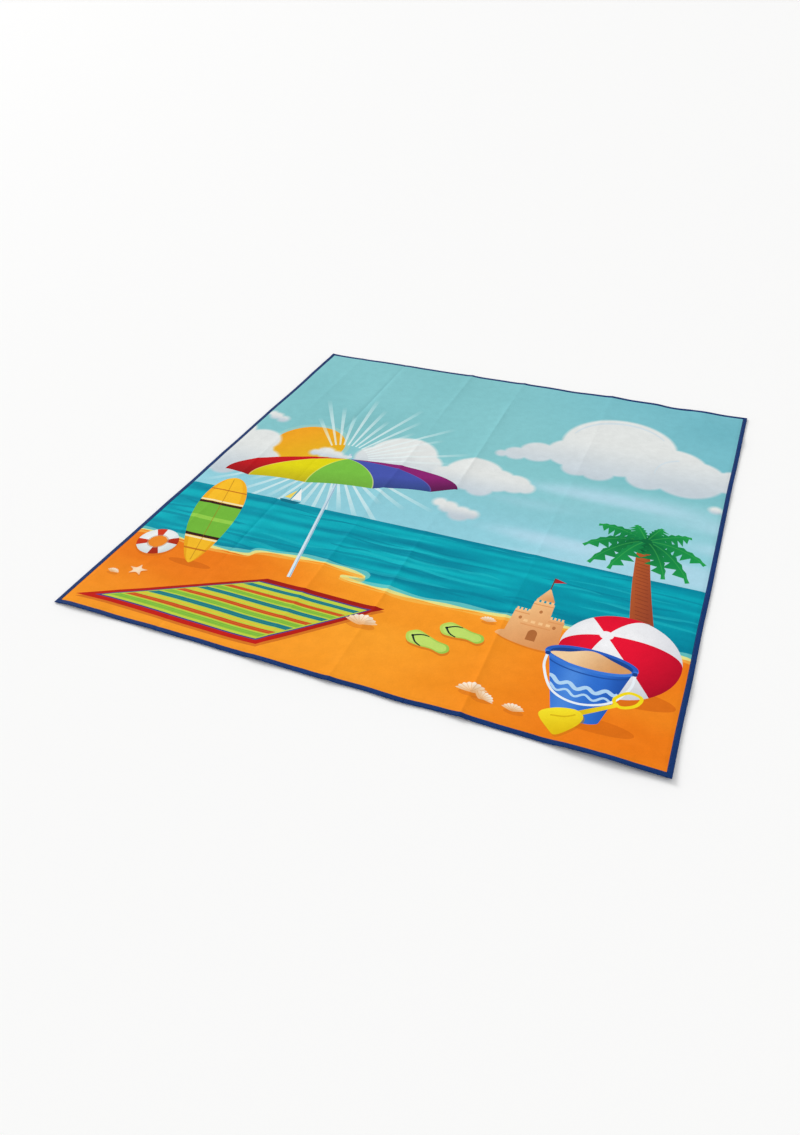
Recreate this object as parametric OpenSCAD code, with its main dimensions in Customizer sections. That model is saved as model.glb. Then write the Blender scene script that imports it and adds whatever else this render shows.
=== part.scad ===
// Padded camp blanket, laid flat. It is a printed cover cloth, a layer of padding and a waterproof
// backing, bound together all round by a folded edge tape and sewn through.
// It folds along three lines: each side flap folds in, then the blanket closes at the centre line.
// Origin: on the ground under the centre of the blanket. +X is right, +Y is the far edge, +Z is up.

/* [Blanket] */
// Width from side to side
blanket_w = 1460; // [1300:10:1600]
// Depth from near edge to far edge
blanket_d = 1530; // [1300:10:1700]
// Thickness of the padded field
field_t = 4; // [3.6:0.1:6]

/* [Cloth layers] */
// Thickness of the printed cover cloth
cover_t = 0.4; // [0.3:0.05:0.6]
// Thickness of the waterproof backing
backing_t = 0.4; // [0.3:0.05:0.6]

/* [Edge binding] */
// Width of tape that shows on each face
tape_w = 12; // [10:1:20]
// Thickness of the tape
tape_t = 0.6; // [0.5:0.05:0.8]
// Thickness over the bound edge
bound_t = 3.4; // [3:0.1:3.5]

/* [Stitching] */
// Width of the sewing thread
thread_w = 0.6; // [0.4:0.1:1]
// Height of the sewing thread, which lies flush in the tape
thread_h = 0.3; // [0.2:0.05:0.4]
// Distance of the seam from the inner edge of the tape
seam_inset = 2; // [1.5:0.5:4]

/* [Care label] */
// How far the label reaches in from the tape
label_l = 28; // [20:1:40]
// Width of the label along the tape
label_w = 18; // [12:1:25]
// Thickness of the label, which lies flush in the backing
label_t = 0.25; // [0.2:0.05:0.3]
// Distance of the label from the near edge
label_y = 160; // [100:10:400]

/* [Folding] */
// How far each folded flap stops short of the centre line
flap_short = 4; // [2:1:20]
// Gap between two panels at a fold line
fold_gap = 0.4; // [0.3:0.1:1]
// Height of the two flap fold axes above the ground
flap_axis_z = 10; // [8:0.5:12]
// Height of the centre fold axis above the ground
centre_axis_z = 22.5; // [22.5:0.5:30]
// How far the left flap is folded in, in degrees
left_flap_angle = 0; // [0:5:180]
// How far the right flap is folded in, in degrees
right_flap_angle = 0; // [0:5:180]
// How far the right half is folded over the left half, in degrees
centre_angle = 0; // [0:5:180]

/* [Hidden] */
$fn = 48;
eps = 0.01;

// A flap is a little narrower than the panel that it folds onto.
inner_w = (blanket_w / 2 + flap_short) / 2;
outer_w = blanket_w / 2 - inner_w;

// Panels from left to right, and the lines that bound them.
LEFT_OUTER = 0;
LEFT_INNER = 1;
RIGHT_INNER = 2;
RIGHT_OUTER = 3;
fold_x = [-blanket_w / 2, -inner_w, 0, inner_w, blanket_w / 2];

// The rounded edge of the tape, where the layers inside it stop.
edge_r = bound_t / 2;

// Heights of the layers in the field and inside the binding
cover_z = field_t - cover_t;
rim_cover_z = bound_t - tape_t - cover_t;
rim_backing_z = tape_t;

// Low and high X of a panel whose bound sides are set in by `inset`
function low_x(p, inset) = fold_x[p] + (p == LEFT_OUTER ? inset : fold_gap / 2);
function high_x(p, inset) = fold_x[p + 1] - (p == RIGHT_OUTER ? inset : fold_gap / 2);

// Turns its children about a fold line at `x`, whose axis runs from near to far at height `z`
module fold(angle, x, z) {
    translate([x, 0, z])
        rotate([0, angle, 0])
            translate([-x, 0, -z])
                children();
}

// Turns a panel's pieces to the chosen fold angles
module folded(p) {
    if (p == LEFT_OUTER)
        fold(left_flap_angle, -inner_w, flap_axis_z)
            children();
    if (p == LEFT_INNER)
        children();
    if (p == RIGHT_INNER)
        fold(-centre_angle, 0, centre_axis_z)
            children();
    if (p == RIGHT_OUTER)
        fold(-centre_angle, 0, centre_axis_z)
            fold(-right_flap_angle, inner_w, flap_axis_z)
                children();
}

// A slab over one panel, set in by `inset` at the bound edges and run out by `over` at the fold lines
module slab(p, inset, z0, z1, over = 0) {
    x0 = low_x(p, inset) - (p == LEFT_OUTER ? 0 : over);
    x1 = high_x(p, inset) + (p == RIGHT_OUTER ? 0 : over);
    y = blanket_d / 2 - inset;
    translate([x0, -y, z0])
        cube([x1 - x0, 2 * y, z1 - z0]);
}

// Printed cover cloth: a raised field that steps down into the binding
module cover(p) {
    color("#e59a2e")
    folded(p)
    difference() {
        union() {
            slab(p, tape_w, rim_cover_z, field_t);
            slab(p, edge_r, rim_cover_z, rim_cover_z + cover_t);
        }
        slab(p, tape_w + cover_t, rim_cover_z - 1, cover_z, over = 1);
    }
}

// Padding between the two cloths, thinner where the binding pinches it
module padding(p) {
    color("#f2f0ea")
    folded(p) {
        slab(p, tape_w + cover_t, backing_t, cover_z);
        slab(p, edge_r, rim_backing_z + backing_t, rim_cover_z);
    }
}

// Waterproof backing: the underside that rests on the ground
module backing(p) {
    color("#23406e")
    folded(p)
    difference() {
        union() {
            slab(p, tape_w, 0, rim_backing_z + backing_t);
            slab(p, edge_r, rim_backing_z, rim_backing_z + backing_t);
        }
        slab(p, tape_w + backing_t, backing_t, rim_backing_z + backing_t + 1, over = 1);
        if (p == RIGHT_OUTER)
            label_block(eps);
    }
}

// Section of the folded tape: X runs in from the blanket's edge and Y is up
module tape_section() {
    seam = tape_w - seam_inset - thread_w / 2;
    difference() {
        union() {
            translate([edge_r, edge_r])
                circle(r = edge_r);
            translate([edge_r, 0])
                square([tape_w - edge_r, bound_t]);
        }
        translate([edge_r, edge_r])
            circle(r = edge_r - tape_t);
        translate([edge_r, tape_t])
            square([tape_w, bound_t - 2 * tape_t]);
        // Grooves that the thread pulls into the tape, on both faces
        translate([seam, -1])
            square([thread_w, thread_h + 1]);
        translate([seam, bound_t - thread_h])
            square([thread_w, thread_h + 1]);
    }
}

// Tape along the near edge between two X positions
module near_tape(x0, x1) {
    translate([x0, -blanket_d / 2, 0])
        rotate([90, 0, 90])
            linear_extrude(x1 - x0)
                tape_section();
}

// Wedge that cuts the left end of the near tape to a 45 degree mitre
module mitre_cutter() {
    translate([-blanket_w / 2, -blanket_d / 2, -1])
        linear_extrude(bound_t + 2)
            polygon([[-1, -1], [tape_w + 1, tape_w + 1], [-1, tape_w + 1]]);
}

module near_binding(p) {
    color("#1f4f86")
    folded(p)
    difference() {
        near_tape(low_x(p, 0), high_x(p, 0));
        if (p == LEFT_OUTER)
            mitre_cutter();
        if (p == RIGHT_OUTER)
            mirror([1, 0, 0])
                mitre_cutter();
    }
}

module far_binding(p) {
    mirror([0, 1, 0])
        near_binding(p);
}

// Tape along the left side, mitred at both ends
module side_binding() {
    color("#1f4f86")
    difference() {
        translate([-blanket_w / 2, blanket_d / 2, 0])
            rotate([90, 0, 0])
                linear_extrude(blanket_d)
                    tape_section();
        for (far = [0, 1])
            mirror([0, far, 0])
                translate([-blanket_w / 2, -blanket_d / 2, -1])
                    linear_extrude(bound_t + 2)
                        polygon([[-1, -1], [tape_w + 1, tape_w + 1], [tape_w + 1, -1]]);
    }
}

// Seam through the binding of one panel: a line of thread on each face
module stitching(p) {
    seam = tape_w - seam_inset;
    x0 = low_x(p, seam - thread_w / 2);
    x1 = high_x(p, seam - thread_w / 2);
    y = blanket_d / 2 - seam;
    color("#16385f")
    folded(p)
    for (z = [0, bound_t - thread_h]) {
        for (side = [-1, 1])
            translate([x0, side * y - thread_w / 2, z])
                cube([x1 - x0, thread_w, thread_h]);
        if (p == LEFT_OUTER || p == RIGHT_OUTER)
            translate([p == LEFT_OUTER ? x0 : x1 - thread_w, -y, z])
                cube([thread_w, 2 * y, thread_h]);
    }
}

// Space of the label on the underside, next to the right side binding
module label_block(grow = 0) {
    translate([blanket_w / 2 - tape_w - label_l - grow, -blanket_d / 2 + label_y - grow, -grow])
        cube([label_l + 2 * grow, label_w + 2 * grow, label_t + 2 * grow]);
}

// Blank care label
module care_label() {
    color("#f4f4f0")
        label_block();
}

cover(LEFT_OUTER);  // left_outer_cover
cover(LEFT_INNER);  // left_inner_cover
cover(RIGHT_INNER);  // right_inner_cover
cover(RIGHT_OUTER);  // right_outer_cover
padding(LEFT_OUTER);  // left_outer_padding
padding(LEFT_INNER);  // left_inner_padding
padding(RIGHT_INNER);  // right_inner_padding
padding(RIGHT_OUTER);  // right_outer_padding
backing(LEFT_OUTER);  // left_outer_backing
backing(LEFT_INNER);  // left_inner_backing
backing(RIGHT_INNER);  // right_inner_backing
backing(RIGHT_OUTER);  // right_outer_backing
near_binding(LEFT_OUTER);  // left_outer_near_binding
near_binding(LEFT_INNER);  // left_inner_near_binding
near_binding(RIGHT_INNER);  // right_inner_near_binding
near_binding(RIGHT_OUTER);  // right_outer_near_binding
far_binding(LEFT_OUTER);  // left_outer_far_binding
far_binding(LEFT_INNER);  // left_inner_far_binding
far_binding(RIGHT_INNER);  // right_inner_far_binding
far_binding(RIGHT_OUTER);  // right_outer_far_binding
folded(LEFT_OUTER) side_binding();  // left_side_binding
folded(RIGHT_OUTER) mirror([1, 0, 0]) side_binding();  // right_side_binding
stitching(LEFT_OUTER);  // left_outer_stitching
stitching(LEFT_INNER);  // left_inner_stitching
stitching(RIGHT_INNER);  // right_inner_stitching
stitching(RIGHT_OUTER);  // right_outer_stitching
folded(RIGHT_OUTER) care_label();
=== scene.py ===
import math

import bpy
import numpy as np
from mathutils import Matrix, Vector
from mathutils.geometry import delaunay_2d_cdt


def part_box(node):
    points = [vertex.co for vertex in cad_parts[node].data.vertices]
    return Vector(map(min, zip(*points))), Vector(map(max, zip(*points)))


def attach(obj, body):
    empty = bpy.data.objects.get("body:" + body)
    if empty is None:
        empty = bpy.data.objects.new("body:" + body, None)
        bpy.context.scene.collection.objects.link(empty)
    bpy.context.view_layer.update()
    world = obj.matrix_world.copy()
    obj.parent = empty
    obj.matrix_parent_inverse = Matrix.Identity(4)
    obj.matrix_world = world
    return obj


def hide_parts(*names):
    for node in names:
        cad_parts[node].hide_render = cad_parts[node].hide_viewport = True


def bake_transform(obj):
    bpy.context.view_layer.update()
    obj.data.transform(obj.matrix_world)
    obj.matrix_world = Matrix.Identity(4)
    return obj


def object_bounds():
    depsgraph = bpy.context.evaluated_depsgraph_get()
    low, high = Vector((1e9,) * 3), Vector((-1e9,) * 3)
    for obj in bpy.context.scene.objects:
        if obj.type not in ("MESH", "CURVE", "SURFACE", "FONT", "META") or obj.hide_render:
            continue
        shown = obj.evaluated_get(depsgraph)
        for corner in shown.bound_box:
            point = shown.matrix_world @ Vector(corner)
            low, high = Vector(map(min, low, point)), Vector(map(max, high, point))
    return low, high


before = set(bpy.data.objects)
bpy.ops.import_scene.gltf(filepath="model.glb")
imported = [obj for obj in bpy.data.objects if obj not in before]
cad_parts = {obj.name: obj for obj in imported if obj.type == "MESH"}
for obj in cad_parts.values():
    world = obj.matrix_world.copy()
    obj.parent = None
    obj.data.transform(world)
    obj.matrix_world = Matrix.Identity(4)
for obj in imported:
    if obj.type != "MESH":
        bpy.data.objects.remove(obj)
cad_low, cad_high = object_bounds()

# ---------------------------------------------------------------- sizes from the CAD frame
HALF_W, HALF_D = round(cad_high.x, 5), round(cad_high.y, 5)
tape_low, tape_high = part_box("left_side_binding")
TAPE_W, TAPE_TOP = tape_high.x - tape_low.x, tape_high.z
cover_low, cover_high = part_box("left_outer_cover")
FIELD_TOP = cover_high.z
INSET = round(HALF_W + cover_low.x, 5)  # the cloth stops this far inside the tape's outer edge
padding_low, padding_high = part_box("left_inner_padding")
CLOTH_T = FIELD_TOP - padding_high.z  # the cover's and the backing's thickness
TAPE_T = 0.0006  # the tape's own thickness
FOLD_X = round(-(cover_high.x + padding_low.x) / 2, 5)  # the flaps fold at plus and minus this
CUT_X = FOLD_X / 2  # each layer is three pieces, cut in the middle of the two inner panels
FLAP_BEND = 0.012  # half the width of cloth that bends at a flap's fold line
CENTRE_BEND = 0.020  # the same at the centre fold, which goes round the two flaps
STITCH_IN = 0.010  # from the outer edge to the line of stitches
label_low, label_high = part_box("care_label")


# ---------------------------------------------------------------- camera, floor and light
def add_object(name, data):
    made = bpy.data.objects.new(name, data)
    bpy.context.scene.collection.objects.link(made)
    return made


def make_camera():
    """The photo's camera, solved from the blanket's four corners."""
    azimuth, elevation, roll = (math.radians(a) for a in (23.63, 37.56, -1.71))
    target, distance = Vector((-0.0016, -0.3385, 0)), 2.1688
    level = math.cos(elevation)
    back = Vector((math.sin(azimuth) * level, -math.cos(azimuth) * level, math.sin(elevation)))
    side = Vector((0, 0, 1)).cross(back).normalized()
    up = back.cross(side)
    c, s = math.cos(roll), math.sin(roll)
    side, up = c * side + s * up, c * up - s * side
    camera = add_object("camera", bpy.data.cameras.new("camera"))
    camera.data.lens, camera.data.sensor_width = 27.40, 36
    turn = Matrix((side, up, back)).transposed().to_4x4()
    camera.matrix_world = Matrix.Translation(target + back * distance) @ turn
    bpy.context.scene.camera = camera


def make_floor():
    reach, drop = 60, 0.0006
    mesh = bpy.data.meshes.new("floor")
    corners = [(-reach, -reach), (reach, -reach), (reach, reach), (-reach, reach)]
    mesh.from_pydata([(x, y, -drop) for x, y in corners], [], [(0, 1, 2, 3)])
    material = bpy.data.materials.new("floor")
    material.use_nodes = True
    shader = material.node_tree.nodes["Principled BSDF"]
    shader.inputs["Base Color"].default_value = (0.96, 0.96, 0.955, 1)
    shader.inputs["Roughness"].default_value = 0.9
    shader.inputs["Specular IOR Level"].default_value = 0.2
    mesh.materials.append(material)
    add_object("floor", mesh)


def make_light():
    """A white world, brightest at the horizon, and one broad key lamp from the left and behind."""
    world = bpy.data.worlds.new("studio")
    bpy.context.scene.world = world
    world.use_nodes = True
    tree = world.node_tree
    direction = tree.nodes.new("ShaderNodeTexCoord")
    split = tree.nodes.new("ShaderNodeSeparateXYZ")
    ramp = tree.nodes.new("ShaderNodeMapRange")
    ramp.interpolation_type = "SMOOTHERSTEP"
    ramp.inputs["To Min"].default_value, ramp.inputs["To Max"].default_value = 0.97, 0.70
    ramp.inputs["From Max"].default_value = 0.55
    tree.links.new(direction.outputs["Generated"], split.inputs["Vector"])
    tree.links.new(split.outputs["Z"], ramp.inputs["Value"])
    tree.links.new(ramp.outputs["Result"], tree.nodes["Background"].inputs["Strength"])
    tree.nodes["Background"].inputs["Color"].default_value = (1.0, 1.0, 1.0, 1)

    lamp = add_object("broad_key", bpy.data.lights.new("broad_key", "SUN"))
    lamp.data.energy, lamp.data.angle = 1.75, math.radians(24)
    lamp.rotation_euler = (-Vector((-2.3, 1.5, 1.5))).to_track_quat("-Z", "Y").to_euler()
    bpy.context.scene.view_settings.view_transform = "Standard"


make_camera()
make_floor()
make_light()

# ---------------------------------------------------------------- print: tools
# The print is a list of shapes in painter's order. A shape is one or more outlines and an ink, a
# function of the place that gives red, green, blue and cover from 0 to 1. Places are in metres from
# the middle of the blanket: x to the right, y towards the far edge.

SHAPES = []
CURVE_STEP = 0.0045  # spacing of the points along curved outlines


def rgb(code):
    return np.array([int(code[i : i + 2], 16) / 255 for i in (1, 3, 5)])


def solid(code, cover=1.0):
    colour = rgb(code)
    return lambda x, y: (np.broadcast_to(colour, x.shape + (3,)), np.full(x.shape, cover))


def paint(outlines, ink, cover=1.0, inside=None):
    """Adds a shape and gives its number. The ink may be one colour's code, with its cover. The shape
    shows only where the shape numbered `inside` is, if that is given."""
    if not isinstance(outlines, list):
        outlines = [outlines]
    SHAPES.append((outlines, solid(ink, cover) if isinstance(ink, str) else ink, inside))
    return len(SHAPES) - 1


def fade(code_a, code_b, a, b):
    """An ink that runs from one colour at point a to another at point b."""
    ca, cb = rgb(code_a), rgb(code_b)
    a, b = np.array(a), np.array(b)
    along = (b - a) / ((b - a) @ (b - a))

    def ink(x, y):
        t = np.clip((x - a[0]) * along[0] + (y - a[1]) * along[1], 0, 1)[..., None]
        return ca * (1 - t) + cb * t, np.ones(x.shape)

    return ink


def shaded(code_mid, code_rim, centre, radius):
    """An ink that darkens from a centre towards a rim, as on a ball."""
    mid, rim = rgb(code_mid), rgb(code_rim)

    def ink(x, y):
        t = np.clip(np.hypot(x - centre[0], y - centre[1]) / radius, 0, 1)[..., None] ** 2
        return mid * (1 - t) + rim * t, np.ones(x.shape)

    return ink


def smooth01(t):
    t = np.clip(t, 0, 1)
    return t * t * (3 - 2 * t)


def noise(x, y, cell_x, cell_y, seed):
    """Smooth noise from 0 to 1 that changes over about one cell."""
    grid = np.random.default_rng(seed).random((64, 64))
    u, v = x / cell_x + 32, y / cell_y + 32
    i, j = np.floor(u).astype(int), np.floor(v).astype(int)
    s, t = smooth01(u - i), smooth01(v - j)
    g = lambda a, b: grid[a % 64, b % 64]
    low = g(i, j) * (1 - s) + g(i + 1, j) * s
    high = g(i, j + 1) * (1 - s) + g(i + 1, j + 1) * s
    return low * (1 - t) + high * t


def noise_x(x, cell, seed):
    return noise(x, x * 0, cell, 1, seed)


def noise_y(y, cell, seed):
    return noise(y * 0, y, 1, cell, seed)


def turned(points, degrees):
    c, s = math.cos(math.radians(degrees)), math.sin(math.radians(degrees))
    return points @ np.array([[c, s], [-s, c]])


def arc(cx, cy, rx, ry=None, start=0, stop=360):
    """Points along an ellipse, in degrees. A full turn leaves out the repeated last point."""
    ry = rx if ry is None else ry
    steps = max(16, int(math.radians(abs(stop - start)) * max(rx, ry) / CURVE_STEP))
    a = np.radians(np.linspace(start, stop, steps + 1))
    if abs(stop - start) == 360:
        a = a[:-1]
    return np.stack([rx * np.cos(a), ry * np.sin(a)], 1) + [cx, cy]


def curve(points, closed=False, spacing=CURVE_STEP):
    """A smooth curve through the given points."""
    p = np.array(points, float)
    n = len(p)
    out = []
    for i in range(n if closed else n - 1):
        if closed:
            p0, p1, p2, p3 = p[i - 1], p[i], p[(i + 1) % n], p[(i + 2) % n]
        else:
            p0, p1, p2, p3 = p[max(i - 1, 0)], p[i], p[i + 1], p[min(i + 2, n - 1)]
        steps = max(3, int(np.linalg.norm(p2 - p1) / spacing))
        t = np.arange(steps)[:, None] / steps
        square = (2 * p0 - 5 * p1 + 4 * p2 - p3) * t**2
        out.append(0.5 * (2 * p1 + (p2 - p0) * t + square + (3 * p1 - p0 - 3 * p2 + p3) * t**3))
    if not closed:
        out.append(p[-1:])
    return np.concatenate(out)


def band(path, width_a, width_b=None, grow=None):
    """The outline of a stroke along a path. Its width runs from width_a to width_b, times grow(t)."""
    path = np.array(path, float)
    width_b = width_a if width_b is None else width_b
    step = np.gradient(path, axis=0)
    side = np.stack([-step[:, 1], step[:, 0]], 1)
    side /= np.linalg.norm(side, axis=1)[:, None]
    t = np.linspace(0, 1, len(path))
    half = (width_a * (1 - t) + width_b * t) / 2
    if grow:
        half = half * grow(t)
    return np.concatenate([path + side * half[:, None], (path - side * half[:, None])[::-1]])


def line(a, b, steps=None):
    a, b = np.array(a, float), np.array(b, float)
    steps = steps or max(1, int(np.linalg.norm(b - a) / 0.01))
    return a + (b - a) * np.linspace(0, 1, steps + 1)[:, None]


def rectangle(x0, y0, x1, y1):
    return np.array([[x0, y0], [x1, y0], [x1, y1], [x0, y1]])


# ---------------------------------------------------------------- print: motifs
HORIZON_Y = -0.175
BURST = (-0.375, 0.078)  # the middle of the sunburst, behind the umbrella
SHORE = [
    (-0.80, -0.436), (-0.66, -0.430), (-0.54, -0.436), (-0.43, -0.437), (-0.385, -0.432),
    (-0.370, -0.414), (-0.33, -0.404), (-0.24, -0.396), (-0.13, -0.398), (-0.075, -0.406),
    (-0.07, -0.417), (-0.12, -0.428), (-0.06, -0.438), (0.05, -0.444), (0.18, -0.438),
    (0.32, -0.430), (0.46, -0.415), (0.60, -0.418), (0.80, -0.428),
]
CLOUDS = [  # how soft the rim is, and circles: x, y, radius
    (0.012, [(-0.70, 0.02, 0.12), (-0.66, 0.10, 0.07), (-0.60, 0.0, 0.06), (-0.76, 0.14, 0.06),
             (-0.68, -0.06, 0.05)]),
    (0.014, [(-0.43, 0.105, 0.030), (-0.395, 0.098, 0.026), (-0.46, 0.094, 0.018),
             (-0.365, 0.092, 0.018)]),
    (0.016, [(-0.685, 0.262, 0.022), (-0.655, 0.25, 0.020), (-0.705, 0.275, 0.015)]),
    (0.012, [(-0.205, 0.165, 0.108), (-0.27, 0.13, 0.07), (-0.13, 0.14, 0.06), (-0.10, 0.10, 0.05)]),
    (0.012, [(0.03, 0.14, 0.088), (0.10, 0.13, 0.06), (0.155, 0.13, 0.047), (0.19, 0.12, 0.028),
             (-0.04, 0.11, 0.05), (0.07, 0.075, 0.04)]),
    (0.014, [(0.02, -0.045, 0.028), (0.06, -0.065, 0.034), (-0.01, -0.03, 0.02), (0.09, -0.06, 0.022)]),
    (0.012, [(0.39, 0.44, 0.17), (0.55, 0.37, 0.11), (0.61, 0.33, 0.105), (0.50, 0.29, 0.06),
             (0.27, 0.36, 0.08), (0.17, 0.33, 0.055), (0.11, 0.30, 0.035), (0.07, 0.285, 0.018),
             (0.36, 0.28, 0.05), (0.30, 0.28, 0.045), (0.70, 0.34, 0.055), (0.735, 0.36, 0.05)]),
    (0.014, [(0.70, 0.19, 0.018), (0.735, 0.185, 0.02)]),
]


def sky():
    top, low, haze, dusk = rgb("#84c5ca"), rgb("#93d0de"), rgb("#bcdcee"), rgb("#6db6c6")

    def ink(x, y):
        t = smooth01((0.25 - y) / 0.45)[..., None]
        colour = top * (1 - t) + low * t
        far = smooth01((x + 0.5 * y - 0.15) / 0.9) * smooth01((y - 0.1) / 0.3)
        colour = colour + (dusk - colour) * (0.72 * far)[..., None]
        streak = noise(x, y, 0.45, 0.05, 11) * smooth01((0.3 - y) / 0.2) * smooth01((x + 0.1) / 0.4)
        colour = colour + (haze - colour) * (0.75 * smooth01(streak * 1.6 - 0.35))[..., None]
        shade = noise(x, y, 0.22, 0.16, 12) - 0.5
        return colour + 0.035 * shade[..., None], np.ones(x.shape)

    paint(rectangle(-0.8, -0.2, 0.8, 0.8), ink)


def sun():
    paint(arc(-0.5, 0.13, 0.128), "#b8d8c0", 0.35)
    paint(arc(-0.5, 0.13, 0.113), fade("#f2a51e", "#e6b41c", (-0.56, 0.2), (-0.44, 0.06)))


def cloud(soft, circles):
    """A soft-edged cloud, greyer along its foot."""
    c = np.array(circles, float)
    foot, head = c[:, 1].min() - 0.5 * c[:, 2].max(), (c[:, 1] + c[:, 2]).max()
    white, grey = rgb("#e3e6e4"), rgb("#c9d5de")

    def ink(x, y):
        gap = (np.hypot(x[..., None] - c[:, 0], y[..., None] - c[:, 1]) - c[:, 2]).min(-1)
        t = smooth01((y - foot) / (head - foot) * 1.5)[..., None]
        puff = noise(x, y, 0.09, 0.07, 21)[..., None]
        return grey * (1 - t) + white * t - 0.04 * puff * (1 - t), smooth01(0.5 - gap / soft)

    paint([arc(x, y, r + k * soft / 2) for x, y, r in c for k in (-1, 0, 1)], ink)


def clouds():
    for soft, circles in CLOUDS:
        cloud(soft, circles)
    swell = lambda t: 1 + 2.2 * np.sin(np.pi * t)
    paint(band(arc(0.39, 0.44, 0.148, start=35, stop=165), 0.004, grow=swell), "#c9dbe6", 0.55)
    paint(band(arc(0.60, 0.34, 0.085, start=110, stop=190), 0.010, 0.003), "#cfdee7", 0.6)


def rays():
    """An even sunburst of pale beams that fade with distance."""
    cx, cy = BURST
    pale = rgb("#e6f3f3")
    for i in range(45):
        angle = 8 * i
        if 135 < angle < 215:  # keeps the sun clear
            continue
        reach = (0.40, 0.28, 0.34)[i % 3]
        a = math.radians(angle)
        path = np.array(BURST) + np.outer(np.linspace(0.09, reach, 14), [math.cos(a), math.sin(a)])

        def ink(x, y, reach=reach):
            t = np.clip(np.hypot(x - cx, y - cy) / reach, 0, 1)
            return np.broadcast_to(pale, x.shape + (3,)), 0.80 * (1 - t**3)

        paint(band(path, 0.005, 0.015), ink)


def sailboat():
    """A little sailing boat on the horizon: hull, mast and two sails."""
    spot = np.array([-0.405, HORIZON_Y])
    for outline, code in (
        ([(-0.032, 0.006), (0.034, 0.006), (0.022, -0.008), (-0.022, -0.008)], "#0c6f86"),
        ([(-0.001, 0.006), (0.001, 0.006), (0.001, 0.072), (-0.001, 0.072)], "#2a6f80"),
        ([(0.003, 0.012), (0.030, 0.014), (0.003, 0.070)], "#f2f4f2"),
        ([(-0.003, 0.014), (-0.022, 0.015), (-0.003, 0.058)], "#f3d65a"),
    ):
        paint(spot + outline, code)


def sea():
    light, mid, deep = rgb("#0cb6c2"), rgb("#02a6b6"), rgb("#00829b")

    def ink(x, y):
        depth = smooth01((HORIZON_Y - y) / 0.27)
        swell = noise(x, y, 0.30, 0.022, 41) * 0.6 + noise(x, y, 0.12, 0.011, 42) * 0.4
        right = smooth01((x - 0.05) / 0.7)
        tone = swell * 1.15 - 0.10 - 0.45 * right * depth
        tone = tone - 0.35 * (1 - smooth01((HORIZON_Y - y) / 0.04))
        tone = tone - 0.25 * smooth01((depth - 0.8) / 0.2)
        t = np.clip(tone * 1.5, 0, 1)[..., None]
        s = np.clip(tone * 2.2 - 1.0, 0, 1)[..., None]
        return (deep * (1 - t) + mid * t) * (1 - s) + light * s, np.ones(x.shape)

    paint(rectangle(-0.8, -0.5, 0.8, HORIZON_Y), ink)
    rng = np.random.default_rng(43)
    for _ in range(46):
        y = rng.uniform(-0.41, HORIZON_Y - 0.012)
        near = (HORIZON_Y - y) / 0.25
        x, reach = rng.uniform(-0.7, 0.7), rng.uniform(0.05, 0.16)
        s = np.linspace(-1, 1, 24)
        path = np.stack([x + reach * s, y + 0.004 * np.sin(3 * s + rng.uniform(0, 6))], 1)
        code, cover = ("#007c96", 0.5) if rng.random() < 0.6 else ("#2cc0c9", 0.4)
        ripple = band(path, 0.004 + 0.009 * near, grow=lambda t: np.sin(np.pi * t) ** 0.7 + 0.03)
        paint(ripple, code, cover)


def sand():
    warm, bright, burnt = rgb("#f99a26"), rgb("#fca22b"), rgb("#ef7c17")
    shore = curve(SHORE, spacing=0.0018)

    def ink(x, y):
        left = smooth01((-0.03 - x) / 0.42) * smooth01((y + 0.78) / 0.25)
        corner = smooth01((x - 0.05 - 0.4 * (y + 0.765)) / 0.55)
        glow = smooth01((noise(x, y, 0.35, 0.10, 51) - 0.25) * 1.6)
        t = np.clip(np.maximum(left, corner), 0, 1)[..., None] * (0.75 + 0.25 * (1 - glow[..., None]))
        colour = warm * (1 - glow[..., None]) + bright * glow[..., None]
        colour = colour * (1 - t) + burnt * t
        return colour + 0.02 * (noise(x, y, 0.04, 0.02, 52) - 0.5)[..., None], np.ones(x.shape)

    def lap(rise, width, base, swing, rate, code, cover):
        """A line of foam or wet sand along the shore, of uneven width."""
        uneven = lambda t: base + swing * np.sin(rate * t)
        paint(band(shore + [0, rise], width, grow=uneven), code, cover)

    lap(0.006, 0.022, 0.8, 0.35, 61, "#7fd0c8", 0.75)
    paint(np.concatenate([shore, [[0.8, -0.8], [-0.8, -0.8]]]), ink)
    lap(0, 0.011, 0.75, 0.35, 83, "#e9e58d", 0.95)
    lap(-0.010, 0.010, 0.7, 0.5, 47, "#f7c25a", 0.6)


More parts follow.
